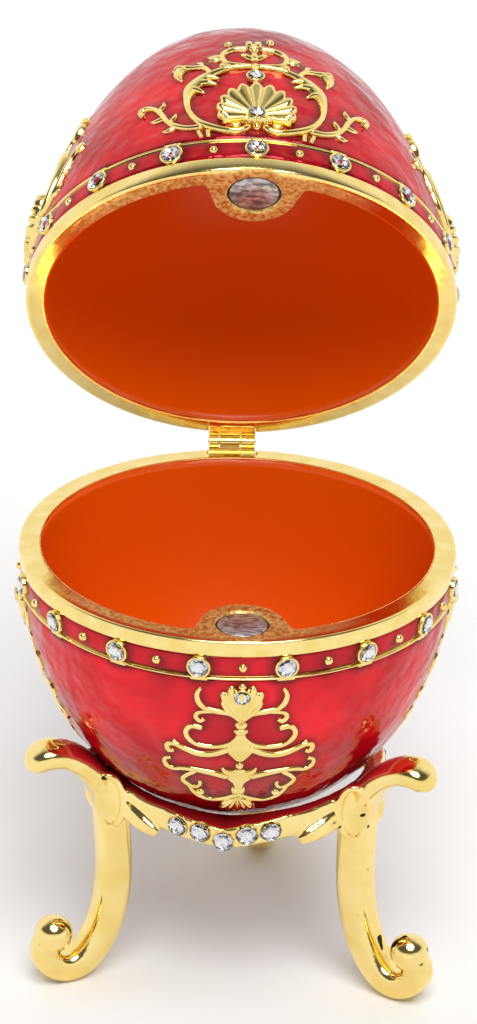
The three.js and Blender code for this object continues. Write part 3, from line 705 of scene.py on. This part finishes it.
def relief(shell, turn_of_motifs, strokes, middles, beads, lift_scale, crispness):
    """All the relief of one shell: four motifs, and the settings and beads of its band."""
    parts = []
    for k in range(4):
        azimuth = turn_of_motifs + k * math.pi / 2
        for lift, places in strokes:
            parts += [stroke(shell, azimuth, places, lift * lift_scale, side, crispness)
                      for side in (1, -1)]
        parts += [stroke(shell, azimuth, places, lift * lift_scale, 1, crispness)
                  for lift, places in middles]
        parts += [set_at(BEAD, frame_at(shell, azimuth, u, s, 0.0), 0.9) for u, s in beads]
        if shell is LID:
            parts.append(fan(shell, azimuth, (0, LID_FOCUS), shell_outline, shell_height, 1,
                             columns=220))
        else:
            for along, petals, spread, reach, upward in BOWL_FANS:
                outline = palmette_outline(petals, spread, reach)
                height = palmette_height(petals, spread)
                parts.append(fan(shell, azimuth, (0, along), outline, height, upward))
        for along, lift in MOTIF_STONES[shell["side"]]:
            parts.append(set_at(SETTING, frame_at(shell, azimuth, 0, along, lift), SMALL_STONE))
    shift_of_stones = 0.0 if shell is LID else STONE_PITCH / 2
    band = BAND_S[shell["side"]]
    for k in range(16):
        azimuth = turn_of_motifs + shift_of_stones + STONE_PITCH * k
        parts.append(set_at(SETTING, frame_at(shell, azimuth, 0, band, SETTING_LIFT)))
        foot = [(0, band + 1.0, 0.45), (0, band + 1.75, 1.1)]
        parts.append(stroke(shell, azimuth, foot, 0.18, 1, 0.3))
        between = azimuth + STONE_PITCH / 2
        parts.append(set_at(BEAD, frame_at(shell, between, 0, band - 0.1, -0.1)))
    return joined(parts)


RELIEF_OF = {"bowl": (BOWL_STROKES, BOWL_MIDDLES, BOWL_BEADS, 0.85, 0.38),
             "lid": (LID_STROKES, LID_MIDDLES, LID_BEADS, 0.8, 0.75)}
BAND_S, relief_parts = {}, {}
for name, shell, place, azimuth, body in HALVES:
    band = np.interp(BAND_MIDDLE, shell["table"][2], shell["table"][0])
    BAND_S[shell["side"]] = float(band)
    relief_parts[name] = relief(shell, azimuth, *RELIEF_OF[name])
    made = piece(name + "_relief", relief_parts[name], place, gold_plate)
    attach(made, body)


# ---------------------------------------------------------------------------------------------
# Red enamel. A translucent glassy enamel is brushed by hand into the recesses of the casting:
# one skin fills the band under the rim, the other covers the shell beyond the raised line. It
# lies a little uneven, so reflections waver, and it glows where the metal shows through. Its
# red is darkened with painted shade near the relief, along its edges and towards the bottom.
ENAMEL_THICK = 0.22
ENAMEL_ROWS, BAND_ROWS, ENAMEL_AROUND = 121, 13, 480
WAVER = 0.12  # how far its surface rises and falls

red_enamel, tree, out = material("translucent_red_enamel")
where = add(tree, "ShaderNodeTexCoord").outputs["Object"]
clouds = noise(tree, where, 110.0, 4.0)
tone = ramp(tree, clouds, 0.36, 0.66, "#C40A1C", "#F21A2C")
# painted shade: the red is darkened towards #6A040C by the painted shade kept on the points
red_with_painted_shade = mixed(tree, attribute(tree, "thick"), tone, linear("#6A040C"), colours=True)
ripple = bump(tree, noise(tree, where, 330.0, 1.5), 0.7, 0.0006)
wet = bump(tree, noise(tree, where, 950.0, 1.0), 0.3, 0.0002, Normal=ripple)
surface(tree, out, Base_Color=red_with_painted_shade, Metallic=0.7, Roughness=0.34, Specular_IOR_Level=0.0,
        Specular_Tint=linear("#B00818"), Normal=wet, Coat_Weight=0.85, Coat_Roughness=0.03,
        Coat_IOR=1.38, Coat_Normal=wet)


def waver(turn, along, phase):
    """A smooth unevenness of brushed enamel: a few crossing waves, from -1 to 1 in all."""
    waves = [(3, 0.21, 1.0, 0.3), (7, -0.33, 2.1, 0.25), (13, 0.5, 0.7, 0.2),
             (17, -0.15, 3.3, 0.15), (24, 0.25, 1.7, 0.1)]
    return sum(np.sin(round_ * turn + down * along + lag * phase) * share
               for round_, down, lag, share in waves)


def near_relief(shell, part, along, columns):
    """How near each point of a grid over the shell lies to its relief, from 0 to 1: the cells
    the relief covers, spread out by a few rounds of averaging with their neighbours."""
    points = part[0]
    row = np.interp(shell["side"] * points[:, 2], shell["table"][2], shell["table"][0])
    row = np.clip(np.searchsorted(along, row), 0, len(along) - 1)
    turn = np.arctan2(points[:, 0], -points[:, 1])
    column = (turn / (2 * math.pi) * columns).astype(int) % columns
    cover = np.zeros((len(along), columns))
    cover[row, column] = 1.0
    spread = cover
    for _ in range(3):
        spread = (np.roll(spread, 1, 1) + np.roll(spread, -1, 1) + spread) / 3
        padded = np.concatenate([spread[:1], spread, spread[-1:]])
        spread = (padded[:-2] + padded[1:-1] + padded[2:]) / 3
    return np.clip(1.6 * spread, 0, 1)


def enamel_skin(shell, part, start, stop, rows, phase, offset=0.0):
    """A closed skin between two lengths along the profile, its edges drawn down to the metal.
    Gives its points and faces, and at every point the painted shade that darkens its red: near
    the relief, along its edges and towards the bottom."""
    turn = full_turn(ENAMEL_AROUND)[None, :]
    along = np.linspace(start, stop, rows)[:, None]
    whole = stop > shell["table"][0][-1] - 0.5
    edge = along - start if whole else np.minimum(along - start, stop - along)
    near = near_relief(shell, part, along[:, 0], ENAMEL_AROUND)
    calm = np.clip(edge / 3, 0, 1) * (np.clip((stop - along) / 3, 0, 1) if whole else 1)
    lift = offset - 0.16 * np.exp(-(edge / 0.22) ** 2) + WAVER * waver(turn, along, phase) * calm
    top = on_shell(shell, turn, 0 * along, along + 0 * turn, lift + 0.06 * near)
    low = along[::6]
    flat = 0 * low + 0 * turn
    under = on_shell(shell, turn, 0 * low, low + 0 * turn, offset - ENAMEL_THICK + flat)
    # painted shade, growing towards the bottom of the shell; the band gets a slight even share
    painted_shade_by_depth = 0.15 + 0 * along
    if whole:
        gain, onset = (2.6, 0.65) if shell is BOWL else (2.2, 0.9)
        painted_shade_by_depth = np.clip((along - start) / (stop - start) * gain - onset, 0, 1)
    # painted shade: darker red near the relief, along the skin's edges and towards the bottom
    thick = np.clip(0.75 * near + 0.8 * painted_shade_by_depth + 0.35 * np.exp(-(edge / 0.5) ** 2), 0, 1)
    if whole:
        shown = np.concatenate([flat.ravel(), thick.ravel(), [0, thick[-1].mean()]])
        return skin(np.concatenate([under[::-1], top])), shown
    shown = np.concatenate([thick, flat]).ravel()
    return skin(np.concatenate([top, under[::-1]]), hoop=True), shown


for name, shell, place, azimuth, body in HALVES:
    lengths, _, depths, _ = shell["table"]
    marks = BAND_END + LINE_TALL, RIM_TALL, BAND_END
    line_end, band_low, band_high = (float(np.interp(depth, depths, lengths)) for depth in marks)
    phase = 0.6 if name == "bowl" else 2.2
    band_offset = shell["radius"] - 0.18 - float(outer_radius(shell, (RIM_TALL + BAND_END) / 2))
    part = relief_parts[name]
    body_end = float(lengths[-1]) - 0.05
    body_skin, body_painted_shade = enamel_skin(shell, part, line_end, body_end, ENAMEL_ROWS, phase)
    band_skin, band_painted_shade = enamel_skin(shell, part, band_low, band_high, BAND_ROWS, phase + 1,
                                        band_offset)
    made = piece(name + "_enamel", joined([body_skin, band_skin]), place, red_enamel)
    # the painted shade is kept on the points, to darken the enamel's red
    mark(made.data, "thick", np.concatenate([body_painted_shade, band_painted_shade]))
    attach(made, body)


# ---------------------------------------------------------------------------------------------
# Orange lining. The inside of both shells, magnet bosses and all, is sprayed with a satin orange
# paint that stops in a slightly ragged line just under the rim.
LINING_START = 0.22

orange_paint, tree, out = material("satin_orange_paint")
where = add(tree, "ShaderNodeTexCoord").outputs["Object"]
peel = bump(tree, noise(tree, where, 300.0, 2.0), 0.1, 0.0002)
surface(tree, out, Base_Color=linear("#EA5C00"), Roughness=0.3, Specular_IOR_Level=0.35,
        Normal=peel)


def lining(shell, azimuth):
    """The paint as a thin closed skin on the inner wall, its edge a little ragged."""
    turn = full_turn(AROUND)
    ragged = 0.05 * np.sin(23 * turn) + 0.04 * np.sin(41 * turn + 1)
    sweep = np.linspace(math.asin(LINING_START / shell["hollow"]), math.pi / 2 - 0.02, 49)
    inside, outside = [], []
    for k, angle in enumerate(sweep):
        depth = shell["hollow"] * math.sin(angle) + (ragged if k == 0 else 0 * turn)
        face = wall_radius(shell, turn - azimuth, depth, 0.0)
        hidden = wall_radius(shell, turn - azimuth, depth, 0.08)
        inside.append(ring_points(face + (0.04 if k == 0 else 0), turn, shell["side"] * depth))
        if k % 3 == 0:
            behind = depth + (0.05 if k > 40 else 0)
            outside.append(ring_points(hidden, turn, shell["side"] * behind))
    return skin(np.array(inside[::-1] + outside))


for name, shell, place, azimuth, body in HALVES:
    made = piece(name + "_lining", lining(shell, azimuth), place, orange_paint)
    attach(made, body)


# ---------------------------------------------------------------------------------------------
# Crystals. Round brilliant-cut glass stones with a silver foil back, glued into their settings:
# a table, eight stars, eight kites and sixteen small facets at the girdle.
cut_glass, tree, out = material("clear_cut_glass")
surface(tree, out, Base_Color=linear("#FDFDFD"), Roughness=0.0, IOR=1.56, Transmission_Weight=1.0)

silver_foil, tree, out = material("silver_foil_back")
surface(tree, out, Base_Color=linear("#EDEDF0"), Metallic=1.0, Roughness=0.08)


def brilliant(radius, girdle, depth):
    """Points and faces of a stone, crown faces first; its girdle lies at the given height."""
    def ring(count, reach, height, offset=0.0):
        turn = (np.arange(count) + offset) * 2 * math.pi / count
        x, y = reach * radius * np.cos(turn), reach * radius * np.sin(turn)
        return np.stack([x, y, height + 0 * turn], -1)

    points = np.concatenate([
        ring(8, 0.5, girdle + 0.36 * radius), ring(8, 0.78, girdle + 0.2 * radius, 0.5),
        ring(16, 1.0, girdle + 0.02), ring(16, 1.0, girdle - 0.06),
        np.array([[0, 0, girdle - 0.06 - depth]])])
    k = np.arange(8)
    n = (k + 1) % 8
    star, upper, lower, culet = 8 + k, 16, 32, 48
    crown = [np.arange(8)[None], np.stack([k, star, n], -1),
             np.stack([k, 8 + (k - 1) % 8, upper + 2 * k, star], -1),
             np.stack([star, upper + 2 * k, upper + 2 * k + 1], -1),
             np.stack([star, upper + 2 * k + 1, upper + 2 * n], -1)]
    j = np.arange(16)
    m = (j + 1) % 16
    foil = [np.stack([upper + j, lower + j, lower + m, upper + m], -1),
            np.stack([lower + 2 * k, culet + 0 * k, lower + 2 * n, lower + 2 * k + 1], -1)]
    return points, crown, foil


def crystals(places, cuts):
    """Many stones as one skin, each turned its own way, and which of its faces are foil."""
    rng = np.random.default_rng(7)
    parts, backs = [], []
    for place, (radius, girdle, depth) in zip(places, cuts):
        points, crown, foil = brilliant(radius, girdle, depth)
        spun = place @ turn_about("z", rng.uniform(0, math.pi / 4))
        tilt = turn_about("x", rng.normal(0, 0.04)) @ turn_about("y", rng.normal(0, 0.04))
        parts.append(set_at((points, crown + foil), spun @ tilt))
        backs += [np.zeros(sum(len(f) for f in crown)), np.ones(sum(len(f) for f in foil))]
    return joined(parts), np.concatenate(backs).astype(np.int32)


def crystal_piece(name, places, cuts, place, body):
    """One object of stones: glass crowns and foil backs."""
    part, backs = crystals(places, cuts)
    made = piece(name, part, place, cut_glass, smooth=False)
    made.data.materials.append(silver_foil)
    made.data.polygons.foreach_set("material_index", backs)
    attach(made, body)
    return made


STONE_CUT = (1.15, 0.52, 0.28)  # radius, girdle's height and depth below it
for name, shell, place, azimuth, body in HALVES:
    places, cuts, nodes = [], [], []
    first = azimuth + (STONE_PITCH / 2 if shell is BOWL else 0.0)
    for k in range(16):
        turn = first + STONE_PITCH * k
        places.append(frame_at(shell, turn, 0, BAND_S[shell["side"]], SETTING_LIFT))
        cuts.append(STONE_CUT)
        nodes.append(f"{name}_band_stone_{k + 1}")
    for k in range(4):
        for letter, (along, lift) in zip("ab", MOTIF_STONES[shell["side"]]):
            places.append(frame_at(shell, azimuth + k * math.pi / 2, 0, along, lift))
            cuts.append(tuple(SMALL_STONE * length for length in STONE_CUT))
            nodes.append(f"{name}_motif_stone_{k + 1}{letter}")
    made = crystal_piece(name + "_crystals", places, cuts, place, body)
    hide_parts(*nodes)


# ---------------------------------------------------------------------------------------------
# Closing magnets. Small nickel-plated discs, scratched and dull, are glued into pockets a little
# below the bosses' faces. The brown glue shows as a dark line round them.
magnet_steel, tree, out = material("scratched_nickel_plate")
where = add(tree, "ShaderNodeTexCoord").outputs["Object"]
stretch = add(tree, "ShaderNodeMapping", Vector=where, Scale=(900.0, 3200.0, 900.0))
grain = noise(tree, stretch.outputs[0], 1.0, 3.0)
tone = ramp(tree, grain, 0.38, 0.62, "#77706F", "#D8CFCD")
surface(tree, out, Base_Color=tone, Metallic=0.85, Roughness=0.42,
        Normal=bump(tree, grain, 0.5, 0.0001))

brown_glue, tree, out = material("dark_brown_glue")
surface(tree, out, Base_Color=linear("#3A2010"), Roughness=0.45)
for name, shell, place, azimuth, body in HALVES:
    part = disc_at(shell, POCKET_RADIUS - 0.02, 0.2, 1.2, azimuth, 72)
    glue = piece(name + "_magnet_glue", part, place, brown_glue)
    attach(glue, body)
    part = disc_at(shell, MAGNET_RADIUS, 0.04, 0.04 + MAGNET_THICK, azimuth, 72)
    made = piece(name + "_magnet", part, place, magnet_steel)
    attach(made, body)
    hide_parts(name + "_magnet")


# ---------------------------------------------------------------------------------------------
# The hinge. Two leaves of rolled brass, soldered into notches in the rims with their knuckles
# interleaved on a wire pin, and gold plated with the shells.
KNUCKLES = [(-2.85, -1.6), (-1.5, 1.0), (1.1, 2.85)]
KNUCKLE_RADIUS, PIN_RADIUS = 0.9, 0.35
LEAF_THICK, LEAF_INNER = 0.6, -3.1


def rod(radius, start, end, bevel=0.08, segments=36):
    """A rod along the hinge's axis."""
    turn = full_turn(segments)
    rings = [np.stack([x + 0 * turn, r * np.cos(turn), r * np.sin(turn)], -1)
             for r, x in rod_steps(radius, start, end, bevel)]
    return skin(np.array(rings))


LEAVES = [("bowl", HINGE, "base", -HINGE_RISE - 0.4, (0, 2)),
          ("lid", SWUNG, "lid", CLOSED_GAP - HINGE_RISE + 0.4, (1,))]
for name, place, body, middle, owned in LEAVES:
    low, high = middle - LEAF_THICK / 2, middle + LEAF_THICK / 2
    parts = [box_part((-2.85, LEAF_INNER, low), (2.85, -1.15, high))]
    for k in owned:
        start, end = KNUCKLES[k]
        parts += [rod(KNUCKLE_RADIUS, start, end),
                  box_part((start, -1.3, low), (end, -0.3, high))]
    made = piece(name + "_hinge_leaf", joined(parts), place, gold_plate, smooth=False)
    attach(made, body)
    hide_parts(name + "_hinge_leaf")
made = piece("hinge_pin", rod(PIN_RADIUS, -3.0, 3.0, 0.12), HINGE, gold_plate)
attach(made, "base")
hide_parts("hinge_pin")


# ---------------------------------------------------------------------------------------------
# The stand. One casting, gold plated: a hoop carries the egg on its level top, and three legs
# curl outward into a ball at the foot and into a horn above, with an ear-shaped lobe and two leaves
# on each side. The hoop's top and the horns' backs are brushed with red enamel.
STAND_TURN = math.radians(-7.4)
LEGS = [STAND_TURN + math.radians(a) for a in (-30, 90, 210)]
LEG_STATIONS = [
    (17.6, 25.5, 1.8, 2.6), (17.2, 20.5, 2.0, 2.35), (17.0, 15.5, 2.05, 2.2),
    (17.2, 11.5, 2.05, 2.15), (18.0, 7.6, 2.0, 2.1), (19.4, 4.6, 1.95, 2.1),
    (21.2, 2.5, 1.9, 2.1), (23.2, 1.72, 1.85, 2.05),
    (25.1, 2.3, 1.75, 1.95), (26.3, 3.9, 1.6, 1.85), (26.3, 5.9, 1.3, 1.5),
]
HORN_STATIONS = [
    (17.1, 18.5, 1.6, 1.8), (17.3, 22, 1.8, 2.3), (18.4, 25.8, 1.8, 2.9), (20.8, 29.2, 1.6, 3.1),
    (23.4, 31.0, 1.5, 2.7), (25.7, 31.3, 1.6, 2.4), (27.1, 30.4, 1.2, 1.8), (27.7, 29.7, 0.4, 0.6),
]
FOOT_BALL = (25.0, 6.5, 2.35)
SPRIGS = [  # leaves beside a leg: millimetres round the hoop, out from it, height, half thickness
    [(4.4, 0.2, 25.0, 0.3), (6.2, 0.35, 24.5, 0.4), (8.0, 0.3, 23.7, 0.45), (9.6, 0.1, 22.9, 0.2)],
    [(3.4, 0.1, 23.6, 0.7), (5.2, 0.2, 23.7, 0.75), (7.2, 0.2, 23.1, 0.7), (9.2, 0.0, 22.4, 0.3)],
]
APRON_OUTER, APRON_TOP, APRON_FOOT = 17.4, 24.9, 22.1
APRON_SKEW = math.radians(-1.3)  # the hoop's points lie a little to one side of midway
LOBE_TURN = 0.55
HOOP_STONE = (1.2, 0.1, 0.3)  # radius, girdle's height and depth below it
SEAT_RADIUS, SEAT_DEEP = 1.3, 0.45
VOXEL = 0.24


def limb(stations, squareness, count=90, segments=48):
    """A limb in the radial plane: |x / thick| ** n + |y / wide| ** n = 1 at every station, with n
    running between the two values of its squareness."""
    run = curve(stations, count)
    slope = np.gradient(run[:, :2], axis=0)
    slope /= np.linalg.norm(slope, axis=1, keepdims=True)
    turn = full_turn(segments)
    power = 2 / np.linspace(*squareness, count)[:, None]
    c = np.sign(np.cos(turn)) * np.abs(np.cos(turn)) ** power
    s = np.sign(np.sin(turn)) * np.abs(np.sin(turn)) ** power
    thick, wide = np.maximum(run[:, 2:3], 0.1) * c, np.maximum(run[:, 3:4], 0.1) * s
    return skin(np.stack([run[:, :1] + thick * slope[:, 1:2], wide,
                          run[:, 1:2] - thick * slope[:, :1]], -1))


def tube(places, segments=20):
    """A round tube through points given as x, y, z and radius."""
    run = curve(places, 40)
    slope = np.gradient(run[:, :3], axis=0)
    slope /= np.linalg.norm(slope, axis=1, keepdims=True)
    side = np.cross(slope, [0, 0, 1.0])
    side /= np.linalg.norm(side, axis=1, keepdims=True)
    other = np.cross(slope, side)
    turn = full_turn(segments)[None, :, None]
    ring = side[:, None] * np.cos(turn) + other[:, None] * np.sin(turn)
    return skin(run[:, None, :3] + np.maximum(run[:, None, 3:4], 0.08) * ring)


def ball(centre, radii, segments=48):
    """An ellipsoid."""
    polar = np.linspace(0.03, math.pi - 0.03, 25)[:, None]
    turn = full_turn(segments)[None, :]
    return skin(np.array(centre) + np.array(radii) * np.stack(
        [np.sin(polar) * np.cos(turn), np.sin(polar) * np.sin(turn), np.cos(polar) + 0 * turn], -1))


def apron():
    """The hoop: between two legs its edges dip to a shallow point, and rise to meet the lobes. Its
    top runs in level to the egg, which rests on it."""
    turn = full_turn(720)
    third = 2 * math.pi / 3
    off = np.abs((turn - LEGS[0] - APRON_SKEW) % third - third / 2) / (third / 2)
    rise = np.clip(2.4 * off, 0, 1)
    near = np.clip((off - 0.55) / 0.45, 0, 1)
    top = APRON_TOP + 1.5 * rise + 0.9 * near
    foot = APRON_FOOT + 1.1 * rise
    seat = outer_radius(BOWL, rim_centre[2] - top) + 0.2
    outer = [(-0.55, foot), (-0.25, foot + 0.2), (0.0, foot + 0.6), (0.1, top - 0.3),
             (-0.05, top + 0.05), (-0.4, top + 0.1), (-0.8, top + 0.05)]
    reach = [(APRON_OUTER + out, height) for out, height in outer]
    reach += [(seat + 0.4, top), (seat, top - 0.15), (seat, foot + 0.6), (seat + 0.3, foot + 0.1)]
    rings = [np.stack([r * np.cos(turn), r * np.sin(turn), h], -1) for r, h in reach]
    return skin(np.stack(rings, 1), hoop=True)


def leg():
    """One leg along +X: shaft and scrolled foot, horn, ball, and on each side its lobe, with a
    raised edge that runs over its top and down its back, and two leaves."""
    parts = [limb(LEG_STATIONS, (3.2, 2.9)), limb(HORN_STATIONS, (2.6, 2.3)),
             ball((FOOT_BALL[0], 0, FOOT_BALL[1]), (FOOT_BALL[2],) * 3)]
    for side in (-1, 1):
        place = shift(18.3, side * 2.4, 25.1) @ turn_about("z", -side * LOBE_TURN)
        parts.append(set_at(ball((0, 0, 0), (1.9, 0.75, 3.7)), place))
        edge = [(-1.8 * math.sin(a), side * 0.95, 3.5 * math.cos(a), 0.45)
                for a in np.linspace(-1.1, 2.7, 24)]
        parts.append(set_at(tube(edge), place))
        for run in SPRIGS:
            turns = [(APRON_OUTER + out, side * arc / APRON_OUTER, height, half)
                     for arc, out, height, half in run]
            parts.append(tube([(r * math.cos(a), r * math.sin(a), height, half)
                               for r, a, height, half in turns]))
    return joined(parts)


apron_seats = []
for angle in LEGS:
    for k, height in zip(range(-2, 3), (24.8, 24.5, 23.6, 24.5, 24.8)):
        outwards = turn_about("z", angle + APRON_SKEW + math.radians(60 + 9.4 * k))
        seat = shift(APRON_OUTER, 0, height - 0.3) @ turn_about("y", math.pi / 2)
        apron_seats.append(outwards @ seat)

parts = [apron()] + [set_at(leg(), turn_about("z", angle)) for angle in LEGS]
stand_place = shift(stand_axis[0], stand_axis[1], 0)
stand = piece("stand", joined(parts), stand_place, gold_plate)
modifier = stand.modifiers.new("fuse", "REMESH")
modifier.mode, modifier.voxel_size = "VOXEL", VOXEL * MM
modifier = stand.modifiers.new("polish", "SMOOTH")
modifier.factor, modifier.iterations = 0.5, 4
mesh = applied(stand)
points = vertex_values(mesh, "co") / MM - stand_place[:3, 3]
points[:, 2] = np.maximum(points[:, 2], 0.0)
for place in apron_seats:
    local = (points - place[:3, 3]) @ place[:3, :3]
    in_seat = (np.hypot(local[:, 0], local[:, 1]) < SEAT_RADIUS) & (np.abs(local[:, 2]) < 0.8)
    points[in_seat] -= SEAT_DEEP * place[:3, 2]
moved = ((points + stand_place[:3, 3]) * MM).astype(np.float32)
mesh.vertices.foreach_set("co", moved.ravel())
mesh.polygons.foreach_set("use_smooth", np.ones(len(mesh.polygons), bool))
normals = vertex_values(mesh, "normal")

reach = np.hypot(points[:, 0], points[:, 1])
azimuths = np.arctan2(points[:, 1], points[:, 0])
offs = np.stack([(azimuths - a + math.pi) % (2 * math.pi) - math.pi for a in LEGS], 1)
which = np.argmin(np.abs(offs), 1)
off_leg = offs[np.arange(len(offs)), which]
inward = -(normals[:, :2] * points[:, :2]).sum(1) / np.maximum(reach, 1e-3)
faces_egg = np.clip((normals[:, 2] * 0.8 + inward * 0.7 - 0.42) / 0.16, 0, 1)
high = np.clip((points[:, 2] - 23.6) / 0.4, 0, 1)
tip = np.clip((23.6 - reach) / 0.5, 0, 1)
on_hoop = (np.abs(off_leg) > 0.24) & (reach > APRON_OUTER - 0.15)
mark(mesh, "red", faces_egg * high * tip * ~on_hoop)

stand_finish, tree, out = material("gold_plate_with_red_enamel")
where = add(tree, "ShaderNodeTexCoord").outputs["Object"]
red_share = attribute(tree, "red")
waves = noise(tree, where, 260.0, 2.0)
tone = ramp(tree, waves, 0.35, 0.65, "#F4D882", "#FCE499")
polish = ranged(tree, noise(tree, where, 2600.0, 3.0), 0.07, 0.18)
pit = add(tree, "ShaderNodeMapRange", Value=noise(tree, where, 620.0, 0.0), From_Min=0.81,
          From_Max=0.83).outputs[0]
colour = mixed(tree, red_share, tone, linear("#D82A30"), colours=True)
surface(tree, out, Base_Color=mixed(tree, pit, colour, linear("#3A2A10"), colours=True),
        Metallic=ranged(tree, red_share, 1.0, 0.3), Roughness=mixed(tree, red_share, polish, 0.22),
        Normal=bump(tree, waves, 0.1, 0.0003))
stand.data.materials.clear()
stand.data.materials.append(stand_finish)
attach(stand, "base")
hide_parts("stand")

crystal_piece("stand_crystals", apron_seats, [HOOP_STONE] * len(apron_seats), stand_place, "base")
